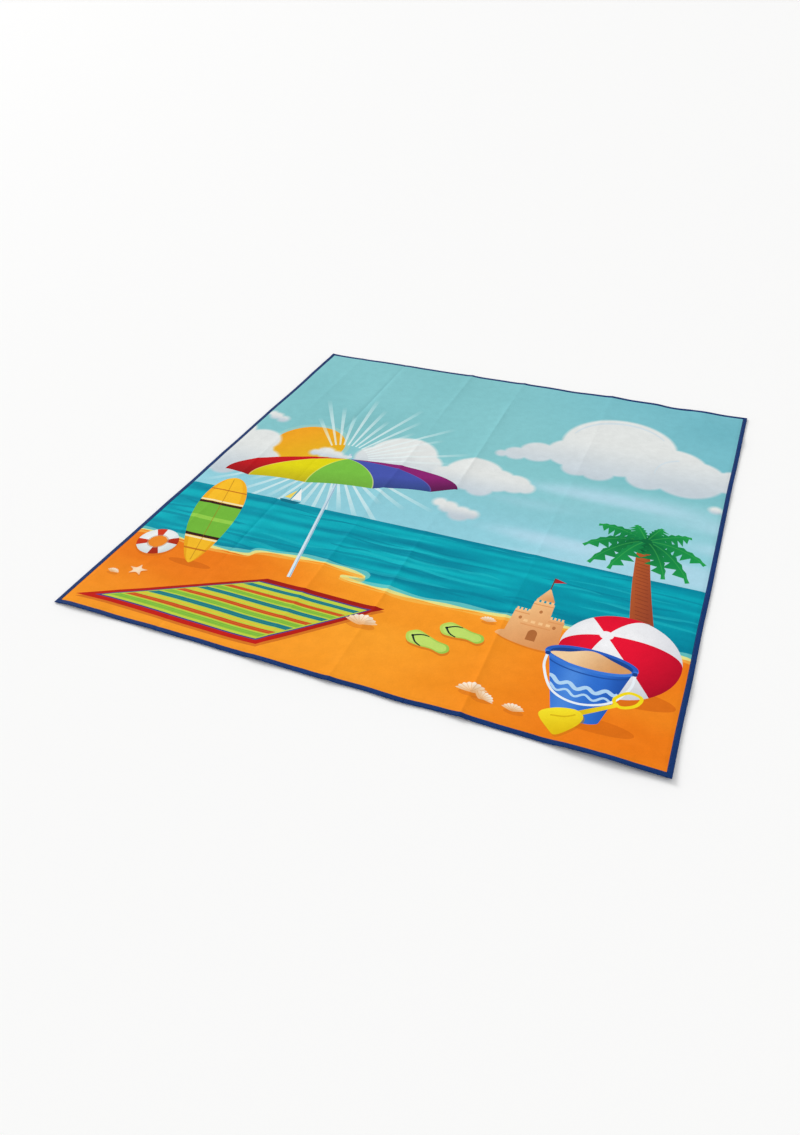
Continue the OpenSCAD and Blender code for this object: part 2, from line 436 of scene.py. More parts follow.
class Umbrella:
    """A tilted beach umbrella. Its dome and its panel seams are half ellipses from the top to the rim."""

    middle = np.array([-0.327, -0.020])
    foot = np.array([-0.243, -0.478])
    reach, height, dip, tilt = 0.348, 0.115, 0.036, math.radians(10.5)
    seams = [180, 220, 255, 288, 322, 360]
    panels = [("#c8141c", "#8f0f16"), ("#e3d80c", "#b8a818"), ("#79c043", "#6fa83c"),
              ("#4655ac", "#31467f"), ("#8c2270", "#5f1a4f")]

    def place(self, u, v):
        c, s = math.cos(self.tilt), math.sin(self.tilt)
        return np.stack([u * c - v * s, u * s + v * c], -1) + self.middle

    def seam(self, angle, steps=26):
        t = np.linspace(0, math.pi / 2, steps)
        a = math.radians(angle)
        u = self.reach * math.cos(a) * np.sin(t)
        return self.place(u, self.height * np.cos(t) + self.dip * math.sin(a) * np.sin(t))

    def rim(self, first, last, steps=14):
        a = np.radians(np.linspace(first, last, steps))
        bow = 0.010 * np.sin(np.pi * np.linspace(0, 1, steps))
        return self.place(self.reach * np.cos(a), self.dip * np.sin(a) + bow)

    def paint(self):
        foot, top = self.foot, self.place(np.array(0.0), np.array(self.height))
        lean = (foot - top) / np.linalg.norm(foot - top)
        head = top - 0.03 * lean
        paint(band(line(head, foot), 0.009, 0.010), fade("#b9d4e2", "#dcecf2", top, foot))
        paint(band(line(head + [0.0025, 0], foot + [0.003, 0]), 0.003), "#8fb4cc", 0.9)
        knob = top - 0.012 * lean
        paint(arc(knob[0], knob[1], 0.008), "#d6e4ea")
        for (code, shade), a, b in zip(self.panels, self.seams, self.seams[1:]):
            outline = np.concatenate([self.seam(a), self.rim(a, b)[1:-1], self.seam(b)[::-1][:-1]])
            low, high = outline[:, 1].min(), outline[:, 1].max()
            x = outline[:, 0].mean()
            paint(outline, fade(shade, code, (x + 0.02, low), (x, low + 0.55 * (high - low))))
        for a in self.seams[1:-1]:
            paint(band(self.seam(a), 0.0015, 0.004), "#f4f0a0" if a < 300 else "#6c6cc0", 0.55)


def surfboard():
    """A board that stands in the sand, yellow with a green belt between dark lines."""
    nose, tail = np.array([-0.612, -0.122]), np.array([-0.512, -0.516])
    axis = tail - nose
    across = np.array([-axis[1], axis[0]]) / np.linalg.norm(axis)

    def place(t, side, wide=0.066):
        half = wide * np.sin(np.pi * np.clip(t, 0, 1) ** 0.72) ** 0.62
        return nose + axis * t[:, None] + across * (half * side)[:, None]

    def outline(wide):
        t = smooth01(np.linspace(0, 1, 70))
        return np.concatenate([place(t, -1.0, wide)[:-1], place(t, 1.0, wide)[::-1][:-1]])

    paint(arc(-0.508, -0.518, 0.062, 0.012), "#c9600f", 0.5)
    board = paint(outline(0.066), fade("#f7b21c", "#e8a51a", (-0.60, -0.15), (-0.52, -0.5)))
    paint(outline(0.050), "#fcc92f", 0.6, inside=board)
    for t0, t1, code in (
        (0.330, 0.720, "#74b93b"), (0.300, 0.318, "#f6e6b0"), (0.322, 0.350, "#3a1a18"),
        (0.700, 0.728, "#3a1a18"), (0.732, 0.750, "#f6e6b0"), (0.500, 0.540, "#95cf4c"),
        (0.850, 0.866, "#c8741c"), (0.160, 0.172, "#c8741c"),
    ):
        a, b, s, tilt = nose + axis * t0, nose + axis * t1, 0.1 * across, axis * 0.055
        paint(np.array([a - s - tilt, a + s + tilt, b + s + tilt, b - s - tilt]), code, inside=board)
    spine = place(np.linspace(0.02, 0.97, 50), 0.02)
    paint(band(spine, 0.0025), "#a8701a", 0.5, inside=board)


def life_ring():
    cx, cy, r, hole = -0.640, -0.466, 0.056, 0.025
    paint(arc(cx + 0.004, cy - 0.010, r, r * 0.96), "#c8641a", 0.45)
    ring = paint(arc(cx, cy, r, r * 0.98), shaded("#f4f5f4", "#cdd8da", (cx - 0.01, cy + 0.015), 0.075))
    red = fade("#d33a1c", "#a82a14", (cx - 0.03, cy + 0.03), (cx + 0.03, cy - 0.03))
    for a in (20, 110, 200, 290):
        rim = arc(cx, cy, r * 1.1, start=a - 15, stop=a + 15)
        paint(np.concatenate([[[cx, cy]], rim]), red, inside=ring)
    paint(arc(cx, cy, hole), "#ee8a26")
    paint(band(arc(cx, cy, hole + 0.002, stop=380), 0.003), "#b9a48c", 0.7)


class Towel:
    """A striped towel on the sand, a four-sided patch."""

    corners = np.array([(-0.70, -0.722), (-0.288, -0.503), (0.030, -0.508), (-0.195, -0.722)])

    def place(self, u, v):
        """u runs from left to right and v from the near end to the far end."""
        a, b, c, d = self.corners
        u, v = u[..., None], v[..., None]
        p = a * (1 - u) * (1 - v) + d * u * (1 - v) + b * (1 - u) * v + c * u * v
        return p + np.sin(2 * np.pi * u) * (1 - v) * np.array([0, 0.003])

    def patch(self, u0, u1, v0, v1):
        n = 36
        t, one = np.linspace(0, 1, n, endpoint=False), np.ones(n)
        u = np.concatenate([u0 + (u1 - u0) * t, u1 * one, u1 + (u0 - u1) * t, u0 * one])
        v = np.concatenate([v0 * one, v0 + (v1 - v0) * t, v1 * one, v1 + (v0 - v1) * t])
        return self.place(u, v)

    def paint(self):
        paint(self.patch(0, 1, 0, 1) + [0.004, -0.008], "#b4501c", 0.5)
        paint(self.patch(0, 1, 0, 1), fade("#c51f16", "#a01a14", (-0.4, -0.72), (-0.4, -0.5)))
        paint(self.patch(0.045, 0.958, 0.060, 0.938), "#4c4586")
        paint(self.patch(0.060, 0.944, 0.080, 0.918), "#bcd23f")
        stripes = [("#7dba3a", 0.052), ("#cf4a1c", 0.050), ("#dcc436", 0.030), ("#0f7488", 0.058)]
        v = 0.115
        for i in range(12):
            code, wide = stripes[i % 4]
            wide *= 1.12 - 0.025 * i
            paint(self.patch(0.072, 0.932, v, v + wide), code, 0.95)
            v += wide + 0.018
        for v in np.linspace(0.1, 0.90, 34):
            paint(self.patch(0.076, 0.928, v - 0.0035, v + 0.0035), "#f2f6b0", 0.14)


def flip_flops():
    sole = np.array([
        (-0.056, 0.0), (-0.040, 0.022), (-0.010, 0.020), (0.018, 0.016), (0.046, 0.016),
        (0.057, 0.0), (0.046, -0.015), (0.018, -0.014), (-0.010, -0.021), (-0.040, -0.022),
    ])
    for cx, cy, turn, grow in ((0.163, -0.575, -14, 1.0), (0.226, -0.521, -10, 0.98)):

        def spots(points):
            return turned(grow * np.array(points), turn) + [cx, cy]

        outline = curve(spots(sole), closed=True)
        (heel, toe, post) = spots([(-0.05, 0), (0.05, 0), (-0.040, 0)])
        paint(outline + [0.003, -0.007], "#c2661c", 0.55)
        paint(outline, fade("#b9da5e", "#9cc84e", heel, toe))
        paint(curve(spots(sole * [0.88, 0.78]), closed=True), "#c9e676", 0.7)
        for v in (0.018, -0.019):
            strap = curve(spots([(-0.040, 0.0), (-0.024, v * 0.75), (-0.006, v)]))
            paint(band(strap, 0.005, 0.003), "#22302a")
        paint(arc(*post, 0.0035), "#16201c")


def shell(cx, cy, size, turn):
    """A small pale fan shell and its shadow."""
    paint(arc(cx + 0.004, cy - 0.004, size * 0.9, size * 0.3), "#c96a1e", 0.4)
    count = 15
    a = np.radians(turn + np.linspace(18, 162, count))
    r = size * (1 + 0.05 * (-1.0) ** np.arange(count))
    rim = np.stack([cx + r * np.cos(a), cy + 0.8 * r * np.sin(a)], 1)
    hinge = [(cx - 0.22 * size, cy - 0.04 * size), (cx + 0.22 * size, cy - 0.04 * size)]
    pale = fade("#e9b47c", "#fbf0e0", (cx, cy), rim[count // 2])
    fan = paint(curve(np.concatenate([rim, hinge]), closed=True), pale)
    for k in range(1, count, 2):
        rib = band(line((cx, cy), rim[k], 5), 0.0008, size * 0.045)
        paint(rib, "#dca06a", 0.65, inside=fan)


def shells():
    for spot in (
        (-0.005, -0.575, 0.040, 0), (0.268, -0.462, 0.020, 0), (0.305, -0.690, 0.034, 10),
        (0.330, -0.700, 0.026, -30), (0.400, -0.708, 0.024, 0), (-0.672, -0.618, 0.018, -10),
    ):
        shell(*spot)


def starfish():
    cx, cy, size = -0.615, -0.588, 0.027
    a = np.radians(20 + 36 * np.arange(10))
    r = np.where(np.arange(10) % 2 == 0, size, size * 0.45)
    points = np.stack([cx + r * np.cos(a), cy + 0.8 * r * np.sin(a)], 1)
    paint(curve(points + [0.003, -0.004], closed=True), "#c9600f", 0.45)
    paint(curve(points, closed=True), shaded("#fde3c4", "#eba76a", (cx, cy), size))


def sandcastle():
    light, dark = "#f8c68c", "#dd955a"
    body = fade(light, dark, (0.33, -0.35), (0.44, -0.47))
    mound = curve([(0.296, -0.494), (0.330, -0.466), (0.37, -0.455), (0.42, -0.462), (0.452, -0.482),
                   (0.46, -0.504), (0.38, -0.512)], closed=True)
    paint(mound + [0.006, -0.006], "#cf6d1c", 0.5)
    paint(mound, body)
    for x0, x1, foot, head in (  # the towers, each with four merlons
        (0.350, 0.398, -0.475, -0.350), (0.316, 0.352, -0.482, -0.392),
        (0.398, 0.434, -0.484, -0.402), (0.340, 0.410, -0.490, -0.430),
    ):
        paint(np.array([(x0 - 0.004, foot), (x1 + 0.004, foot), (x1, head), (x0, head)]), body)
        for k in range(4):
            x = x0 + (x1 - x0) * (k + 0.2) / 4
            paint(rectangle(x, head - 0.001, x + (x1 - x0) * 0.14, head + 0.008), light)
        paint(rectangle(x0, head - 0.012, x1, head - 0.008), dark, 0.8)
    roof = np.array([(0.352, -0.342), (0.396, -0.342), (0.374, -0.292)])
    paint(roof, fade("#fbd09a", dark, (0.35, -0.3), (0.39, -0.34)))
    paint(rectangle(0.3725, -0.296, 0.3755, -0.250), "#6b4436")
    paint(np.array([(0.3755, -0.250), (0.404, -0.259), (0.3755, -0.269)]), "#b3202a")
    arch = arc(0.375, -0.466, 0.011, 0.014, start=0, stop=180)
    paint(np.concatenate([arch, [(0.364, -0.490), (0.386, -0.490)]]), "#b06a38")
    for x, y in ((0.334, -0.42), (0.374, -0.385), (0.416, -0.43)):
        paint(arc(x, y, 0.004, 0.006), "#b5713f", 0.9)


def palm():
    trunk = curve([(0.548, -0.02), (0.560, -0.12), (0.575, -0.22), (0.598, -0.345), (0.60, -0.36)])
    paint(band(trunk, 0.030, 0.056), fade("#b5582c", "#98452a", (0.55, -0.1), (0.61, -0.1)))
    for p in trunk[4 : len(trunk) - 4 : 3]:
        cut = band(line(p + [-0.015, 0.002], p + [0.017, -0.003], 4), 0.0022)
        paint(cut, "#7c3420", 0.65)
    crown = np.array([0.552, -0.015])
    paint(arc(crown[0] + 0.002, crown[1] - 0.022, 0.030, 0.030), "#065c34")
    greens = ["#076338", "#0a7040", "#107d45"]
    odd = np.arange(15) % 2
    for i, (angle, reach, droop) in enumerate((  # the fronds
        (178, 0.150, 0.075), (150, 0.150, 0.040), (115, 0.085, 0.012), (70, 0.085, 0.010),
        (38, 0.135, 0.030), (8, 0.155, 0.075), (200, 0.130, 0.095), (-18, 0.130, 0.100),
        (222, 0.095, 0.085), (-42, 0.090, 0.085),
    )):
        a = math.radians(angle)
        s = np.linspace(0, 1, 15)
        path = crown + np.outer(s * reach, [math.cos(a), math.sin(a)]) - np.outer(droop * s**2.2, [0, 1])
        step = np.gradient(path, axis=0)
        down = np.stack([step[:, 1], -step[:, 0]], 1) * np.where(step[:, :1] > 0, 1, -1)
        down /= np.linalg.norm(down, axis=1)[:, None]
        body = 0.020 * np.sin(np.pi * np.clip(s, 0.02, 0.98)) ** 0.6
        lower = path + down * (np.where(odd, 0.45, 1.55) * body * 1.5)[:, None]
        upper = path - down * (np.where(odd, 0.6, 1.0) * body * 0.7)[:, None]
        paint(np.concatenate([upper, lower[::-1]]), fade(greens[i % 3], "#1f9c4c", crown, path[-1]))
        paint(band(path, 0.004, 0.001), "#5bc058", 0.45)
    paint(arc(crown[0], crown[1], 0.014, 0.010), "#0a6a3c")


def beach_ball():
    """A ball of six gores, alternately red and white, that meet at a pole turned up to the left."""
    centre, r = np.array([0.572, -0.466]), 0.133
    cx, cy = centre
    light = (cx - 0.03, cy + 0.045)
    paint(arc(cx + 0.012, cy - 0.118, r * 0.95, r * 0.22), "#c4560f", 0.45)
    pole = np.array([-0.30, 0.42, 0.0])
    pole[2] = math.sqrt(1 - pole @ pole)
    side = np.cross(pole, [0, 1.0, 0])
    side /= np.linalg.norm(side)
    other = np.cross(pole, side)

    def meridian(angle):
        a = math.radians(angle)
        out = math.cos(a) * side + math.sin(a) * other
        t = np.linspace(0, math.pi, 200)
        p = np.cos(t)[:, None] * pole + np.sin(t)[:, None] * out
        return p[p[:, 2] >= 0][::5, :2]

    ball = paint(arc(cx, cy, r), shaded("#f4f4f6", "#c9ccd4", light, r * 1.45))
    for k in range(0, 6, 2):
        a, b = meridian(60 * k + 12), meridian(60 * k + 72)
        t0, t1 = math.atan2(a[-1, 1], a[-1, 0]), math.atan2(b[-1, 1], b[-1, 0])
        turn = (t1 - t0 + math.pi) % (2 * math.pi) - math.pi
        limb = t0 + turn * np.linspace(0, 1, 20)[:, None]
        rim = 1.02 * np.concatenate([np.cos(limb), np.sin(limb)], 1)
        gore = np.concatenate([a, rim, b[::-1][:-1]]) * r + centre
        paint(gore, shaded("#ec1233", "#a80a26", light, r * 1.45), inside=ball)
    tip = pole[:2] * r + centre
    paint(arc(tip[0], tip[1], 0.016, 0.014), "#f3f3f5")


def bucket():
    cx, top_y, rx, ry = 0.518, -0.503, 0.094, 0.030
    paint(arc(0.56, -0.688, 0.085, 0.020), "#c9600f", 0.45)
    wall = np.concatenate([
        arc(cx, top_y, rx, ry, start=180, stop=0),
        arc(cx + 0.004, -0.676, 0.050, 0.016, start=0, stop=-180),
    ])
    blue, dark, light = rgb("#2f6fd0"), rgb("#1d4ea6"), rgb("#5f9ae6")

    def ink(x, y):
        t = np.clip((x - (cx - rx)) / (2 * rx), 0, 1)
        shine = np.exp(-(((t - 0.36) / 0.16) ** 2))[..., None]
        edge = smooth01((t - 0.62) / 0.4)[..., None]
        colour = (blue * (1 - edge) + dark * edge) * (1 - 0.6 * shine) + light * 0.6 * shine
        return colour, np.ones(x.shape)

    body = paint(wall, ink)
    t = np.linspace(-1, 1, 49)
    for drop, thick in ((-0.582, 0.010), (-0.604, 0.006)):
        wave = np.stack([cx + 0.075 * t, drop - 0.012 * (1 - t**2) + 0.006 * np.sin(12 * t)], 1)
        paint(band(wave, thick), "#b9dcf6", 0.95, inside=body)
    lip = arc(cx, top_y - 0.016, rx * 0.985, ry * 1.02, start=180, stop=360)
    paint(band(lip, 0.004), "#1c4c9c", 0.8, inside=body)
    paint(arc(cx, top_y, rx + 0.008, ry + 0.005), "#2a5fc0")
    paint(arc(cx, top_y + 0.001, rx - 0.004, ry - 0.005), "#1b4590")
    heap = [(0.430, -0.510), (0.470, -0.492), (0.515, -0.474), (0.560, -0.488), (0.606, -0.512),
            (0.52, -0.535)]
    paint(curve(heap, closed=True), fade("#f3cfa0", "#d79a62", (0.49, -0.48), (0.57, -0.52)))
    paint(band(arc(cx, top_y, rx + 0.004, ry + 0.002, start=180, stop=360), 0.009), "#3c7ad8")
    handle = [(0.424, -0.512), (0.428, -0.560), (0.462, -0.622), (0.520, -0.640), (0.580, -0.615),
              (0.612, -0.560), (0.615, -0.515)]
    paint(band(curve(handle), 0.006), "#eaf2f8")
    for x in (0.424, 0.614):
        paint(arc(x, -0.513, 0.006), "#1b3f86")


def shovel():
    grip = curve([(0.588, -0.600), (0.612, -0.572), (0.640, -0.578), (0.632, -0.604), (0.604, -0.618)],
                 closed=True)
    paint(band(np.concatenate([grip, grip[:4]]), 0.008), "#f2da1c")
    shaft = band(line((0.600, -0.612), (0.520, -0.672)), 0.010, 0.014)
    paint(shaft, fade("#f6de2a", "#d9b614", (0.6, -0.61), (0.52, -0.67)))
    blade = curve([(0.452, -0.694), (0.478, -0.668), (0.520, -0.658), (0.540, -0.672), (0.532, -0.702),
                   (0.500, -0.738), (0.482, -0.730)], closed=True)
    paint(blade + [0.004, -0.005], "#c8740f", 0.5)
    paint(blade, fade("#f8e42c", "#e0bb12", (0.48, -0.67), (0.51, -0.73)))
    paint(band(curve([(0.476, -0.690), (0.505, -0.684), (0.524, -0.672)]), 0.004), "#c99f0c", 0.6)


def paint_print():
    for motif in (
        sky, sun, clouds, rays, sea, sailboat, sand, palm, life_ring, surfboard, Umbrella().paint,
        sandcastle, beach_ball, Towel().paint, flip_flops, shells, starfish, bucket, shovel,
    ):
        motif()


# ---------------------------------------------------------------- how the blanket lies
CREASES = [  # place along x, height, and +1 for a ridge or -1 for a valley between two swells
    (-0.609, 0.0022, 1),
    (-0.438, 0.0026, -1),
    (-0.183, 0.0028, 1),
    (0.006, 0.0036, 1),
    (0.305, 0.0038, 1),
]
SHARP, BROAD = 0.0085, 0.042  # how far a crease's sharp top and its broad foot reach
CORNER_CREASE = ((0.575, 0.745), (0.720, 0.605), 0.0028, 0.014)  # two places on it, height, reach


def rounded(d, radius):
    """The distance d, with its kink at zero rounded off."""
    return np.sqrt(d**2 + radius**2) - radius


def crease(d, height, kind):
    """A fold line pressed in by storage: a sharp line on a broad swell, d away from the line."""
    soft = rounded(d, 0.0015)
    sharp, broad = np.exp(-soft / SHARP), np.exp(-soft / BROAD)
    if kind > 0:
        return height * (0.42 * sharp + 0.58 * broad)
    return height * (1.15 * broad - 0.95 * sharp * broad)


def lay(x, y):
    """How a point of the flat blanket lies on the floor: its shift in x and y, and its rise."""
    rise = 0.0011 * noise(x, y, 0.31, 0.27, 61) + 0.0010 * noise(x, y, 0.12, 0.14, 62)
    rise = rise + 0.0006 * noise(x, y, 0.045, 0.05, 63) - 0.0006
    for i, (x0, height, kind) in enumerate(CREASES):
        wander = 0.006 * (noise_y(y, 0.22, 70 + i) - 0.5)
        high = height * (0.30 + 1.15 * smooth01(1.25 * noise_y(y, 0.17, 80 + i) - 0.1))
        rise = rise + crease(x - x0 - wander, high, kind)
    (ax, ay), (bx, by), height, half = CORNER_CREASE
    d = ((x - ax) * (by - ay) - (y - ay) * (bx - ax)) / math.hypot(bx - ax, by - ay)
    rise = rise + height * np.exp(-rounded(d, 0.010) / half) * smooth01((x + y - 1.15) / 0.15)
    edges = ((y, HALF_D, x, 91), (-y, HALF_D, x, 92), (x, HALF_W, y, 93), (-x, HALF_W, y, 94))
    for across, limit, along, seed in edges:
        wave = noise_x(along, 0.075, seed) * noise_x(along, 0.2, seed + 10)
        rise = rise + 0.0085 * np.exp((across - limit) / 0.05) * wave * smooth01(1.3 * wave)
    shift_x = 0.0026 * (noise_y(y, 0.16, 101) - 0.5) * np.abs(x / HALF_W) ** 3
    shift_y = 0.0044 * (noise_x(x, 0.085, 102) - 0.5) * np.abs(y / HALF_D) ** 3
    dip = np.exp(-(((x - 0.55) / 0.13) ** 2)) * smooth01((y - 0.45) / (HALF_D - 0.45))
    least = 0.06 * np.exp(np.minimum(rise / 0.0012, 0)) * 0.0012  # keeps the cloth above the floor
    return shift_x, shift_y - 0.0060 * dip, np.maximum(rise, least)


def edge_distance(x, y):
    return np.minimum(HALF_W - np.abs(x), HALF_D - np.abs(y))


COVER_RISE, BACKING_RISE = 0.011, 0.008  # how far each cloth takes to come clear of the tape
UNDER_TAPE = 0.0008  # the rise starts this far under the tape's inner edge
LABEL_RIM, LABEL_GAP = 0.0008, 0.00005  # width of the dent's slope, and room over the label
SLOPE_STEP = 0.0012  # half the distance over which a slope is measured


def past_tape(x, y, reach):
    """0 under the tape, rising to 1 within `reach` of its inner edge."""
    return smooth01((edge_distance(x, y) - TAPE_W + UNDER_TAPE) / reach)


def top_of_cover(x, y):
    """Height of the cover above the underside: it comes up out of the tape with a round shoulder."""
    return TAPE_TOP - TAPE_T + (FIELD_TOP - TAPE_TOP + TAPE_T) * past_tape(x, y, COVER_RISE)


def foot_of_backing(x, y):
    """Height of the underside: it comes down out of the tape, and is dented over the care label."""
    foot = TAPE_T * (1 - past_tape(x, y, BACKING_RISE))
    in_x = np.minimum(x - label_low.x, label_high.x - x)
    in_y = np.minimum(y - label_low.y, label_high.y - y)
    over_label = smooth01(np.minimum(in_x, in_y) / LABEL_RIM + 1.5)
    return np.maximum(foot, over_label * (label_high.z + LABEL_GAP))


def place(x, y, z):
    """The point of the blanket at x, y and height z, as it lies."""
    shift_x, shift_y, rise = lay(x, y)
    return np.stack([x + shift_x, y + shift_y, z + rise], -1)


def slope_normals(x, y, height):
    """Unit normals of the surface z = height(x, y) + rise, so that shading agrees across cuts."""
    e = SLOPE_STEP

    def z(x, y):
        return height(x, y) + lay(x, y)[2]

    dx = (z(x + e, y) - z(x - e, y)) / (2 * e)
    dy = (z(x, y + e) - z(x, y - e)) / (2 * e)
    n = np.stack([-dx, -dy, np.ones_like(dx)], -1)
    return n / np.linalg.norm(n, axis=-1)[..., None]


# ---------------------------------------------------------------- meshes
def make_mesh(name, points, faces):
    """An object from an array of points and a list of face arrays, each of one face size."""
    mesh = bpy.data.meshes.new(name)
    counts = np.concatenate([np.full(len(f), f.shape[1]) for f in faces])
    corners = np.concatenate([f.ravel() for f in faces])
    mesh.vertices.add(len(points))
    mesh.vertices.foreach_set("co", np.asarray(points, np.float32).ravel())
    mesh.loops.add(len(corners))
    mesh.loops.foreach_set("vertex_index", corners.astype(np.int32))
    mesh.polygons.add(len(counts))
    starts = np.concatenate([[0], np.cumsum(counts)[:-1]])
    mesh.polygons.foreach_set("loop_start", starts.astype(np.int32))
    mesh.polygons.foreach_set("use_smooth", np.ones(len(counts), bool))
    mesh.update(calc_edges=True)
    mesh.validate()
    return add_object(name, mesh)


def set_uv(mesh, layer, uv):
    """uv has one row for each face corner."""
    mesh.uv_layers.new(name=layer).data.foreach_set("uv", uv.astype(np.float32).ravel())


def set_cloth_uv(mesh, flat, faces):
    """The places in the flat cut, in metres, which the weaves use."""
    cloth = flat[np.concatenate([f.ravel() for f in faces])]
    set_uv(mesh, "cloth", cloth)
    return cloth


def rim_of(faces):
    """The directed edges that only one face has."""
    a = faces.ravel()
    b = np.roll(faces, -1, axis=1).ravel()
    size = int(faces.max()) + 1
    open_edge = ~np.isin(a * size + b, b * size + a)
    return np.stack([a[open_edge], b[open_edge]], 1)


BAKE_MARGIN = 0.015  # of the baked picture, round the face that it is for
HIDDEN_CORNER, HIDDEN_SIZE = 0.002, 0.008  # the picture's corner that the hidden faces share


def closed_sheet(name, flat, faces, low, high, normals=None):
    """A closed sheet: an upper face, the same face turned over below it, and a wall round the rim.
    flat is the points' x and y in the flat cut, low and high are the two faces' heights, and
    normals are those of both faces, or None for the mesh's own."""
    n = len(flat)
    points = np.concatenate([place(flat[:, 0], flat[:, 1], high), place(flat[:, 0], flat[:, 1], low)])
    rim = rim_of(faces)
    wall = np.stack([rim[:, 1], rim[:, 0], rim[:, 0] + n, rim[:, 1] + n], 1)
    piece = make_mesh(name, points, [faces, faces[:, ::-1] + n, wall])
    mesh = piece.data
    cloth = set_cloth_uv(mesh, flat, [faces, faces[:, ::-1], wall % n])

    # the baked picture is for the upper face, or a backing's lower face; the rest shares a corner
    square = (cloth - flat.min(0)) / (flat.max(0) - flat.min(0))
    shown = np.zeros(len(square), bool)
    if "backing" in name:
        shown[faces.size : 2 * faces.size] = True
    else:
        shown[: faces.size] = True
    bake = BAKE_MARGIN + (1 - 2 * BAKE_MARGIN) * square
    bake[~shown] = HIDDEN_CORNER + HIDDEN_SIZE * square[~shown]
    set_uv(mesh, "OFBake", bake)

    if normals is not None:
        run = points[wall[:, 1]] - points[wall[:, 0]]
        out = np.stack([-run[:, 1], run[:, 0], np.zeros(len(run))], 1)
        out /= np.maximum(np.linalg.norm(out, axis=1), 1e-9)[:, None]
        both = [normals[faces.ravel()], -normals[faces[:, ::-1].ravel()], np.repeat(out, 4, axis=0)]
        mesh.normals_split_custom_set(np.concatenate(both).tolist())
    return piece


def spaced(limit, step, dense, extra=()):
    """Ascending places from -limit to limit, about step apart, with closer ones around the dense
    lines: each is a place, a reach and a spacing. The extra places are always among them."""
    fine = list(extra) + [-limit, limit]
    for x0, reach, gap in dense:
        count = round(reach / gap)
        fine += [x0 + k * gap for k in range(-count, count + 1)]
    fine = np.array(sorted(set(np.round(fine, 6))))
    fine = fine[np.abs(fine) <= limit + 1e-7]
    coarse = np.arange(-limit, limit + step / 2, step)
    near = np.abs(coarse[:, None] - fine[None]).min(1)
    return np.sort(np.concatenate([fine, coarse[near > 0.3 * step]]))


SHOULDER = [0.0112, 0.0128, 0.0146, 0.0166, 0.0190, 0.0225]  # from the edge, where the cover rises
EDGE_X = [s * (HALF_W - d) for d in SHOULDER for s in (-1, 1)]
EDGE_Y = [s * (HALF_D - d) for d in SHOULDER for s in (-1, 1)]
DENSE_X = [(0, 0.024, 0.002), (-FOLD_X, 0.015, 0.0015), (FOLD_X, 0.015, 0.0015)]
DENSE_X += [(x0, 0.012, 0.002) for x0, _, _ in CREASES if abs(x0) > 0.02]
NET_STEP, UNDER_STEP, TAPE_STEP = 0.010, 0.012, 0.004  # spacing of the nets' lines
FINE_X = [x0 for x0, _, _ in CREASES] + [-FOLD_X, 0, FOLD_X]  # creases and folds: finer outlines
FINE_STEP, FINE_REACH = 0.003, 0.020  # longest piece of an outline by one of them, and how near
CLEAR_CELL = 0.0016  # net points closer than one or two of these to an outline are left out


